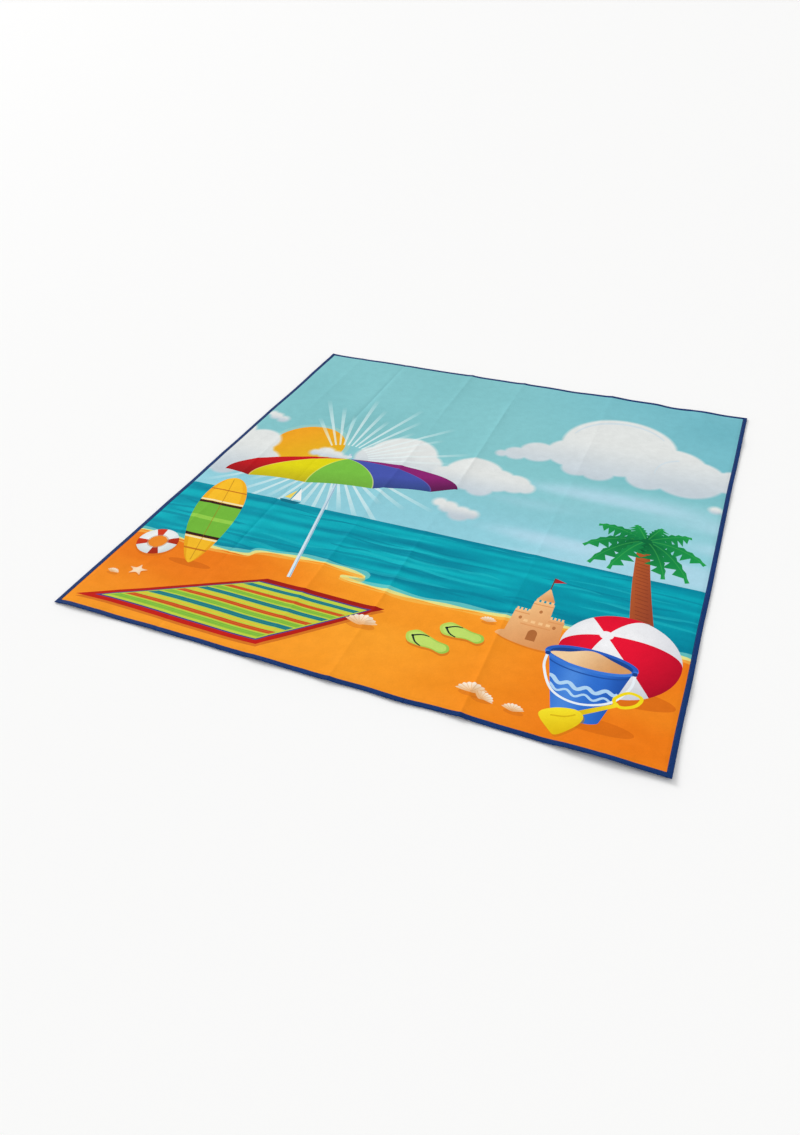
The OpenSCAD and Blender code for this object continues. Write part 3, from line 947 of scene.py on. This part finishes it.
def cover_net():
    """The cover's points and triangles, with an edge along every outline of the print, and the
    triangles' middles."""
    limit_x, limit_y = HALF_W - INSET, HALF_D - INSET
    xs = spaced(limit_x, NET_STEP, DENSE_X, EDGE_X + [-CUT_X, CUT_X])
    ys = spaced(limit_y, NET_STEP, [], EDGE_Y + list(np.arange(-0.43, HORIZON_Y, 0.005)))
    fine_x = np.array(FINE_X)
    points, links = [], []

    def add_chain(run, closed):
        first = len(points)
        points.extend(run)
        links.extend((first + i, first + (i + 1) % len(run)) for i in range(len(run) - (not closed)))

    def chain(outline, closed=True):
        """Adds an outline's points and links, with no long pieces."""
        p = np.asarray(outline, float)
        q = np.roll(p, -1, axis=0) if closed else p[1:]
        p = p if closed else p[:-1]
        low_x = np.minimum(p[:, 0], q[:, 0]) - FINE_REACH
        high_x = np.maximum(p[:, 0], q[:, 0]) + FINE_REACH
        fine = ((low_x[:, None] < fine_x) & (high_x[:, None] > fine_x)).any(1)
        longest = np.where(fine, FINE_STEP, NET_STEP)
        parts = np.maximum(1, np.ceil(np.linalg.norm(q - p, axis=1) / longest)).astype(int)
        run = [a + (b - a) * (np.arange(k) / k)[:, None] for a, b, k in zip(p, q, parts)]
        add_chain(np.concatenate(run if closed else run + [q[-1:]]).tolist(), closed)

    for outlines, _, _ in SHAPES:
        for outline in outlines:
            if (np.abs(outline) < (limit_x + 0.03, limit_y + 0.03)).all(1).any():
                chain(outline)
    chain([(-0.8, HORIZON_Y), (0.8, HORIZON_Y)], closed=False)

    gx, gy = np.meshgrid(xs, ys)
    grid = np.stack([gx.ravel(), gy.ravel()], 1)
    taken = set(map(tuple, np.floor(np.array(points) / CLEAR_CELL).astype(int).tolist()))
    around = [(a, b) for a in (-1, 0, 1) for b in (-1, 0, 1)]
    keys = np.floor(grid / CLEAR_CELL).astype(int).tolist()
    free = np.array([not any((i + a, j + b) in taken for a, b in around) for i, j in keys])
    x, y = np.abs(grid).T
    on_line = (np.abs(x - limit_x) < 1e-6) | (np.abs(y - limit_y) < 1e-6) | (np.abs(x - CUT_X) < 1e-6)
    points.extend(grid[free & ~on_line].tolist())
    for x in (-limit_x, -CUT_X, CUT_X, limit_x):
        add_chain([(x, y) for y in ys], False)
    for y in (-limit_y, limit_y):
        add_chain([(x, y) for x in xs], False)

    made = delaunay_2d_cdt([Vector(p) for p in points], links, [], 0, 1e-5, False)
    flat = np.array([v[:] for v in made[0]])
    faces = np.array([f[:] for f in made[2]])
    a, b, c = flat[faces[:, 0]], flat[faces[:, 1]], flat[faces[:, 2]]
    area = (b[:, 0] - a[:, 0]) * (c[:, 1] - a[:, 1]) - (b[:, 1] - a[:, 1]) * (c[:, 0] - a[:, 0])
    faces[area < 0] = faces[area < 0][:, ::-1]
    middle = (a + b + c) / 3
    keep = (np.abs(middle) < (limit_x, limit_y)).all(1) & (np.abs(area) > 1e-13)
    return flat, faces[keep], middle[keep]


def inside_outline(outline, x, y):
    """True for the points that the outline winds round."""
    turns = np.zeros(len(x), int)
    for (ax, ay), (bx, by) in zip(outline, np.roll(outline, -1, axis=0)):
        side = (bx - ax) * (y - ay) - (by - ay) * (x - ax)
        turns += ((ay <= y) & (by > y) & (side > 0)).astype(int)
        turns -= ((ay > y) & (by <= y) & (side < 0)).astype(int)
    return turns != 0


def colour_corners(flat, faces, middle):
    """The print's colour at each corner of each triangle, painted shape over shape."""
    colours = np.zeros(faces.shape + (3,))
    mx, my = middle.T
    held = {}
    needed = {inside for _, _, inside in SHAPES if inside is not None}
    for number, (outlines, ink, inside) in enumerate(SHAPES):
        hit = np.zeros(len(faces), bool)
        for outline in outlines:
            in_box = ((middle > outline.min(0)) & (middle < outline.max(0))).all(1)
            near = np.nonzero(in_box & ~hit)[0]
            if len(near):
                hit[near] = inside_outline(outline, mx[near], my[near])
        if number in needed:
            held[number] = hit.copy()
        if inside is not None:
            hit &= held[inside]
        if hit.any():
            corner = flat[faces[hit]]
            colour, cover = ink(corner[..., 0], corner[..., 1])
            colours[hit] += (np.clip(colour, 0, 1) - colours[hit]) * cover[..., None]
    return colours


def to_linear(colour):
    return np.where(colour <= 0.04045, colour / 12.92, ((colour + 0.055) / 1.055) ** 2.4)


# ---------------------------------------------------------------- the three parts of each layer
PARTS = [  # name, x range, the CAD panels it stands for, two bodies, start and end of the bend in x
    ("left", (-1, -CUT_X), ("left_outer",), ("left_inner_panel", "left_outer_panel"),
     (-FOLD_X + FLAP_BEND, -FOLD_X - FLAP_BEND)),
    ("middle", (-CUT_X, CUT_X), ("left_inner", "right_inner"), ("right_inner_panel", "left_inner_panel"),
     (CENTRE_BEND, -CENTRE_BEND)),
    ("right", (CUT_X, 1), ("right_outer",), ("right_outer_panel", "right_inner_panel"),
     (FOLD_X + FLAP_BEND, FOLD_X - FLAP_BEND)),
]


def fit_part(piece, part, look, layer):
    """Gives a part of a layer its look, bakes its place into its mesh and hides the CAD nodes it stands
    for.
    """
    _, _, panels, (body_a, body_b), (start, end) = part
    piece.data.materials.append(look)
    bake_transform(piece)
    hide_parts(*[f"{panel}_{layer}" for panel in panels])


# ---------------------------------------------------------------- materials
class Nodes:
    """Short ways to add nodes to one new material."""

    def __init__(self, name):
        self.material = bpy.data.materials.new(name)
        self.material.use_nodes = True
        self.tree = self.material.node_tree
        self.shader = self.tree.nodes["Principled BSDF"]

    def add(self, kind, **settings):
        node = self.tree.nodes.new(kind)
        for key, value in settings.items():
            if hasattr(node, key):
                setattr(node, key, value)
            else:
                node.inputs[key.replace("_", " ")].default_value = value
        return node

    def set(self, **values):
        for key, value in values.items():
            self.shader.inputs[key.replace("_", " ")].default_value = value

    def link(self, a, b):
        self.tree.links.new(a, b)

    def cloth(self, *scale):
        """Texture coordinates in the flat cut, in metres, times a scale along x and along y."""
        mapping = self.add("ShaderNodeMapping", Scale=(scale[0], scale[-1], 1))
        self.link(self.add("ShaderNodeUVMap", uv_map="cloth").outputs["UV"], mapping.inputs["Vector"])
        return mapping.outputs["Vector"]

    def noise(self, vector, scale=1.0, detail=2.0):
        node = self.add("ShaderNodeTexNoise", Scale=scale, Detail=detail, Roughness=0.55)
        self.link(vector, node.inputs["Vector"])
        return node.outputs["Fac"]

    def bands(self, direction, distortion, *scale):
        node = self.add("ShaderNodeTexWave", wave_type="BANDS", bands_direction=direction)
        node.inputs["Scale"].default_value = 1.0
        node.inputs["Distortion"].default_value = distortion
        self.link(self.cloth(*scale), node.inputs["Vector"])
        return node.outputs["Fac"]

    def ranged(self, value, low, high, from_low=0.0, from_high=1.0):
        node = self.add("ShaderNodeMapRange", clamp=True, From_Min=from_low, From_Max=from_high,
                        To_Min=low, To_Max=high)
        self.link(value, node.inputs["Value"])
        return node.outputs["Result"]

    def math(self, operation, a, b):
        node = self.add("ShaderNodeMath", operation=operation)
        self.link(a, node.inputs[0])
        self.link(b, node.inputs[1])
        return node.outputs["Value"]

    def product(self, a, b):
        """The product of two values, each given with its ranges as for ranged()."""
        return self.math("MULTIPLY", self.ranged(*a), self.ranged(*b))

    def bump(self, *layers):
        """A chain of bumps, each a height, a distance in metres and a strength."""
        normal = None
        for height, distance, strength in layers:
            node = self.add("ShaderNodeBump", Distance=distance, Strength=strength)
            self.link(height, node.inputs["Height"])
            if normal is not None:
                self.link(normal, node.inputs["Normal"])
            normal = node.outputs["Normal"]
        self.link(normal, self.shader.inputs["Normal"])

    def finish(self, colour, shade, roughness):
        """The colour is multiplied by a grey shade."""
        node = self.add("ShaderNodeMix", data_type="RGBA", blend_type="MULTIPLY")
        node.inputs[0].default_value = 1.0
        if isinstance(colour, tuple):
            node.inputs[6].default_value = colour
        else:
            self.link(colour, node.inputs[6])
        self.link(shade, node.inputs[7])
        self.link(node.outputs[2], self.shader.inputs["Base Color"])
        self.link(roughness, self.shader.inputs["Roughness"])
        return self.material


def woven(n, thread):
    """A plain weave's height: threads about `thread` metres wide along both directions, uneven like
    real yarn."""
    along = n.noise(n.cloth(1 / thread, 0.14 / thread))
    across = n.noise(n.cloth(0.14 / thread, 1 / thread))
    return n.math("MAXIMUM", along, across)


def cover_material():
    n = Nodes("printed_cover")
    weave = woven(n, 0.0011)
    # painted shade: the print's colour goes darker and lighter over about 26 mm, standing for the shade
    # of the lumpy padding under the cover
    padding_lump_shade = n.noise(n.cloth(1), 38, 4)
    shade = n.product((weave, 0.93, 1.04, 0.35, 0.75), (padding_lump_shade, 0.965, 1.03, 0.3, 0.7))
    ink = n.add("ShaderNodeAttribute", attribute_name="print")
    n.set(Specular_IOR_Level=0.04)
    n.bump((n.noise(n.cloth(1), 24, 3), 0.0040, 0.35), (weave, 0.0003, 0.5))
    return n.finish(ink.outputs["Color"], shade, n.ranged(weave, 0.92, 0.72, 0.3, 0.8))


def backing_material():
    n = Nodes("backing")
    weave = woven(n, 0.0009)
    wear = n.noise(n.cloth(1), 9, 5)
    shade = n.product((weave, 0.75, 1.2, 0.35, 0.75), (wear, 0.85, 1.2, 0.3, 0.7))
    n.set(Coat_Weight=0.06, Coat_Roughness=0.5, Specular_IOR_Level=0.3)
    n.bump((n.noise(n.cloth(1), 20, 3), 0.0045, 0.4), (weave, 0.0003, 0.6))
    return n.finish((0.014, 0.030, 0.098, 1), shade, n.ranged(weave, 0.66, 0.48, 0.3, 0.8))


def padding_material():
    n = Nodes("padding")
    fibre = n.noise(n.cloth(260), detail=5)
    lump = n.noise(n.cloth(40))
    n.set(Sheen_Weight=0.3)
    n.bump((lump, 0.002, 0.4), (fibre, 0.0006, 0.7))
    return n.finish((0.86, 0.85, 0.82, 1), n.ranged(fibre, 0.88, 1.05), n.ranged(fibre, 0.98, 0.86))


def tape_material():
    n = Nodes("edge_tape")
    rib = n.bands("X", 0.6, 170)
    slub = n.noise(n.cloth(900, 160))
    fading = n.noise(n.cloth(14, 60), detail=4)
    shade = n.product((slub, 0.72, 1.22, 0.3, 0.7), (fading, 0.85, 1.2, 0.3, 0.7))
    n.set(Specular_IOR_Level=0.08)
    n.bump((rib, 0.0002, 0.6), (slub, 0.0002, 0.5))
    return n.finish((0.005, 0.034, 0.150, 1), shade, n.ranged(slub, 0.80, 0.60, 0.3, 0.7))


def thread_material():
    n = Nodes("thread")
    twist = n.bands("DIAGONAL", 0.0, 900)
    fibre = n.noise(n.cloth(2500))
    n.set(Sheen_Weight=0.2)
    n.bump((twist, 0.0001, 0.6))
    shade = n.ranged(fibre, 0.75, 1.2, 0.3, 0.7)
    return n.finish((0.020, 0.060, 0.200, 1), shade, n.ranged(fibre, 0.6, 0.4))


def label_material():
    n = Nodes("care_label")
    satin = n.noise(n.cloth(250, 2600))
    n.set(Sheen_Weight=0.2, Anisotropic=0.4)
    n.bump((satin, 0.0001, 0.5))
    shade = n.ranged(satin, 0.9, 1.04, 0.3, 0.7)
    return n.finish((0.82, 0.82, 0.80, 1), shade, n.ranged(satin, 0.5, 0.36))


# ---------------------------------------------------------------- the three layers
PLAIN_CLOTH = 0.80  # linear grey of the cover's unprinted side


def make_cover():
    paint_print()
    flat, faces, middle = cover_net()
    colours = to_linear(colour_corners(flat, faces, middle))
    look = cover_material()
    for part in PARTS:
        name, (x0, x1) = part[:2]
        pick = (middle[:, 0] > x0) & (middle[:, 0] < x1)
        used, own_faces = np.unique(faces[pick], return_inverse=True)
        own, own_faces = flat[used], own_faces.reshape(-1, 3)
        high = top_of_cover(own[:, 0], own[:, 1])
        normals = slope_normals(own[:, 0], own[:, 1], top_of_cover)
        piece = closed_sheet(f"cover_{name}", own, own_faces, high - CLOTH_T, high, normals)
        mesh = piece.data
        printed = mesh.color_attributes.new("print", "FLOAT_COLOR", "CORNER")
        corner = np.full((len(mesh.loops), 4), 1.0, np.float32)
        shown = colours[pick].reshape(-1, 3)
        corner[: len(shown), :3] = shown
        corner[len(shown) :, :3] = PLAIN_CLOTH
        printed.data.foreach_set("color", corner.ravel())
        fit_part(piece, part, look, "cover")


def around_box(low, high, count):
    """Places across a small box and just past both its ends."""
    near, far = 0.0004, 0.0014
    return [low - far, low - near, *np.linspace(low, high, count), high + near, high + far]


def net(xs, ys):
    """A plain net of four-sided faces over the lines at xs and ys: its points and faces."""
    gx, gy = np.meshgrid(xs, ys)
    index = np.arange(gx.size).reshape(gx.shape)
    faces = np.stack([index[:-1, :-1], index[:-1, 1:], index[1:, 1:], index[1:, :-1]], -1)
    return np.stack([gx.ravel(), gy.ravel()], 1), faces.reshape(-1, 4)


def make_under_layers():
    gap_under, gap_over = 0.0003, 0.0006  # keep the padding's coarser net out of both cloths
    looks = {"padding": padding_material(), "backing": backing_material()}
    label_x = [x for x in around_box(label_low.x, label_high.x, 6) if x < HALF_W - INSET - 0.001]
    label_y = around_box(label_low.y, label_high.y, 5)
    all_x = spaced(HALF_W - INSET, UNDER_STEP, DENSE_X, EDGE_X + [-CUT_X, CUT_X] + label_x)
    ys = spaced(HALF_D - INSET, UNDER_STEP, [], EDGE_Y + label_y)
    for part in PARTS:
        name, (x0, x1) = part[:2]
        flat, faces = net(all_x[(all_x > x0 - 1e-9) & (all_x < x1 + 1e-9)], ys)
        x, y = flat.T
        foot, top = foot_of_backing(x, y), top_of_cover(x, y)
        low, high = foot + CLOTH_T + gap_under, top - CLOTH_T - gap_over
        padding = closed_sheet(f"padding_{name}", flat, faces, low, high)
        normals = slope_normals(x, y, foot_of_backing)
        backing = closed_sheet(f"backing_{name}", flat, faces, foot, foot + CLOTH_T, normals)
        for layer, piece in (("padding", padding), ("backing", backing)):
            fit_part(piece, part, looks[layer], layer)


# ---------------------------------------------------------------- edge tape
TAPE_RING = [  # distance from the outer edge and height, round the folded tape, in millimetres
    (12.00, 3.22), (11.2, 3.36), (10.4, 3.20), (10.0, 3.14), (9.6, 3.20), (8.6, 3.38), (6.0, 3.42),
    (3.4, 3.40), (2.0, 3.36), (1.05, 3.10), (0.42, 2.62), (0.08, 2.10), (0.0, 1.70), (0.08, 1.30),
    (0.42, 0.78), (1.05, 0.30), (2.0, 0.04), (3.4, 0.0), (6.0, 0.0), (8.6, 0.02), (9.6, 0.20),
    (10.0, 0.26), (10.4, 0.20), (11.2, 0.04), (12.0, 0.18), (12.02, 0.42), (11.8, 0.58), (8.0, 0.58),
    (4.0, 0.60), (2.3, 0.62), (1.3, 0.95), (0.9, 1.35), (0.8, 1.70), (0.9, 2.05), (1.3, 2.45),
    (2.3, 2.78), (4.0, 2.80), (8.0, 2.82), (11.8, 2.82), (12.02, 2.98),
]
MITRE_REACH = 0.0252  # within this of a mitred end the rings close up towards it
TAPE_MIDDLE = 0.0017  # height that parts the tape's upper face from its lower face
PUCKER_CELL, PUCKER_HIGH = 0.006, 0.00022  # length and height of the short waves along the tape
RIPPLE_CELL, RIPPLE_HIGH = 0.028, 0.0004  # the same for the long waves
WAVE_REACH = 0.012  # the waves grow from nothing at the outer edge to full height this far in
BEND_STEP = 0.0015  # spacing of the tape's rings by a fold or a crease


def edge_point(side, along, inward):
    """A point `inward` of an edge, `along` it from the middle. Near and far edges run along x."""
    if side == "near":
        return along, -HALF_D + inward
    if side == "far":
        return along, HALF_D - inward
    if side == "left":
        return -HALF_W + inward, along
    return HALF_W - inward, along


def tape_piece(name, side, s0, s1, mitre0, mitre1, seed):
    """One length of folded tape. A mitred end runs in at 45 degrees to meet the next edge's tape."""
    ring = np.array(TAPE_RING) / 1000
    dense = [(x, r, BEND_STEP) for x, r, _ in DENSE_X] if side in ("near", "far") else []
    stops = spaced(max(abs(s0), abs(s1)), TAPE_STEP, dense, [s0, s1])
    stops = stops[(stops >= s0 - 1e-9) & (stops <= s1 + 1e-9)]
    s = np.repeat(stops[:, None], len(ring), 1)
    d = np.repeat(ring[None, :, 0], len(stops), 0)
    z = np.repeat(ring[None, :, 1], len(stops), 0)
    for end, sign, mitred in ((s0, 1, mitre0), (s1, -1, mitre1)):
        if mitred:
            s = s + sign * d * np.clip(1 - sign * (s - end) / MITRE_REACH, 0, 1)
    pucker = noise_x(s, PUCKER_CELL, seed) - 0.5
    ripple = noise_x(s, RIPPLE_CELL, seed + 1) - 0.5
    lift = np.clip(d / WAVE_REACH, 0, 1)
    upper = np.where(z > TAPE_MIDDLE, 1.0, -0.5)
    z = np.maximum(z + upper * (PUCKER_HIGH * pucker * lift + RIPPLE_HIGH * ripple * lift), 0)
    points = place(*edge_point(side, s, d), z).reshape(-1, 3)
    k = len(ring)
    first = np.arange(len(stops) - 1)[:, None] * k
    a, b = first + np.arange(k), first + (np.arange(k) + 1) % k
    sides = np.stack([a, b, b + k, a + k], -1).reshape(-1, 4)
    faces = [sides, np.arange(k)[None, ::-1], np.arange(k)[None] + (len(stops) - 1) * k]
    if side in ("far", "left"):
        faces = [f[:, ::-1] for f in faces]
    piece = make_mesh(name, points, faces)
    girth = np.concatenate([[0], np.cumsum(np.linalg.norm(np.diff(ring, axis=0), axis=1))])
    set_cloth_uv(piece.data, np.stack([s.ravel(), np.tile(girth, len(stops))], 1), faces)
    return piece


def make_tape():
    look = tape_material()
    for part in PARTS:
        name, (x0, x1) = part[:2]
        ends = max(x0, -HALF_W), min(x1, HALF_W), name == "left", name == "right"
        for side, seed in (("near", 201), ("far", 211)):
            piece = tape_piece(f"tape_{side}_{name}", side, *ends, seed)
            fit_part(piece, part, look, f"{side}_binding")
    for side, seed in (("left", 221), ("right", 231)):
        piece = tape_piece(f"tape_{side}", side, -HALF_D, HALF_D, True, True, seed)
        piece.data.materials.append(look)
        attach(piece, f"{side}_outer_panel")
        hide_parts(f"{side}_side_binding")


# ---------------------------------------------------------------- stitches
STITCH_PITCH = 0.0040
STITCH_PATH = np.array([  # along the seam and up from the tape, for each of a stitch's five rings
    (-0.0016, -0.00030), (-0.0011, 0.00008), (0.0, 0.00016), (0.0011, 0.00008), (0.0016, -0.00030),
])
THREAD_R = 0.00028
STITCH_END = 0.014  # a row of stitches stops this far from the corner
STITCH_TOP, STITCH_FOOT = 0.00324, 0.00020  # heights of the rows on the two faces of the tape
SLANT = 0.00008  # how far a stitch's ends stray to the side
RING = 6  # points round the thread


def stitch_points(side, centres, under):
    """The points of a row of stitches, and their places along and across the flat tape."""
    turn = np.radians(np.arange(RING) * 360 / RING)
    slant = np.random.default_rng(301).normal(0, SLANT, len(centres))
    along, up = STITCH_PATH.T
    radius = np.array([0.55, 1.0, 1.0, 1.0, 0.55])[None, :, None] * THREAD_R
    s = centres[:, None, None] + along[None, :, None]
    d = STITCH_IN + radius * np.cos(turn) + (slant[:, None] * np.sign(along))[..., None]
    z = up[None, :, None] + radius * np.sin(turn)
    s, d, z = np.broadcast_arrays(s, d, STITCH_FOOT - z if under else STITCH_TOP + z)
    flat = np.stack([s.ravel(), d.ravel()], 1)
    return place(*edge_point(side, s, d), np.maximum(z, 0)).reshape(-1, 3), flat


def make_stitches():
    look = thread_material()
    rings = len(STITCH_PATH)
    for part in PARTS:
        name, (x0, x1) = part[:2]
        points, bodies, caps, flats = [], [], [], []
        along_x = max(x0, -HALF_W + STITCH_END), min(x1, HALF_W - STITCH_END)
        rows = [("near", *along_x), ("far", *along_x)]
        if name != "middle":
            rows.append((name, -HALF_D + STITCH_END, HALF_D - STITCH_END))
        for side, s0, s1 in rows:
            count = int((s1 - s0) / STITCH_PITCH)
            centres = s0 + (np.arange(count) + 0.5) * (s1 - s0) / count
            for under in (False, True):
                row, flat = stitch_points(side, centres, under)
                base = sum(len(q) for q in points) + np.arange(count)[:, None] * rings * RING
                ring, i = np.arange(rings - 1)[None, :, None] * RING, np.arange(RING)
                a, b = base[..., None] + ring + i, base[..., None] + ring + (i + 1) % RING
                body = np.stack([a, b, b + RING, a + RING], -1).reshape(-1, 4)
                cap = np.concatenate([base + i[::-1], base + (rings - 1) * RING + i])
                turned_over = (side in ("far", "left")) != under
                bodies.append(body[:, ::-1] if turned_over else body)
                caps.append(cap[:, ::-1] if turned_over else cap)
                points.append(row)
                flats.append(flat)
        faces = [np.concatenate(bodies), np.concatenate(caps)]
        piece = make_mesh(f"stitches_{name}", np.concatenate(points), faces)
        set_cloth_uv(piece.data, np.concatenate(flats), faces)
        fit_part(piece, part, look, "stitching")


# ---------------------------------------------------------------- care label
def make_label():
    """A blank woven label under the blanket, tucked in beside the tape."""
    low, high = label_low, label_high
    flat, faces = net(np.linspace(low.x, high.x, 24), np.linspace(low.y, high.y, 16))
    ripple, slack = 0.00002, 0.00006  # height of the weave's ripple, and room for it
    foot = low.z + ripple * (1 + np.sin(flat[:, 0] * 700) * np.sin(flat[:, 1] * 450))
    piece = closed_sheet("label_tag", flat, faces, foot, foot + high.z - low.z - slack)
    piece.data.materials.append(label_material())
    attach(piece, "right_outer_panel")
    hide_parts("care_label")


make_cover()
make_under_layers()
make_tape()
make_stitches()
make_label()
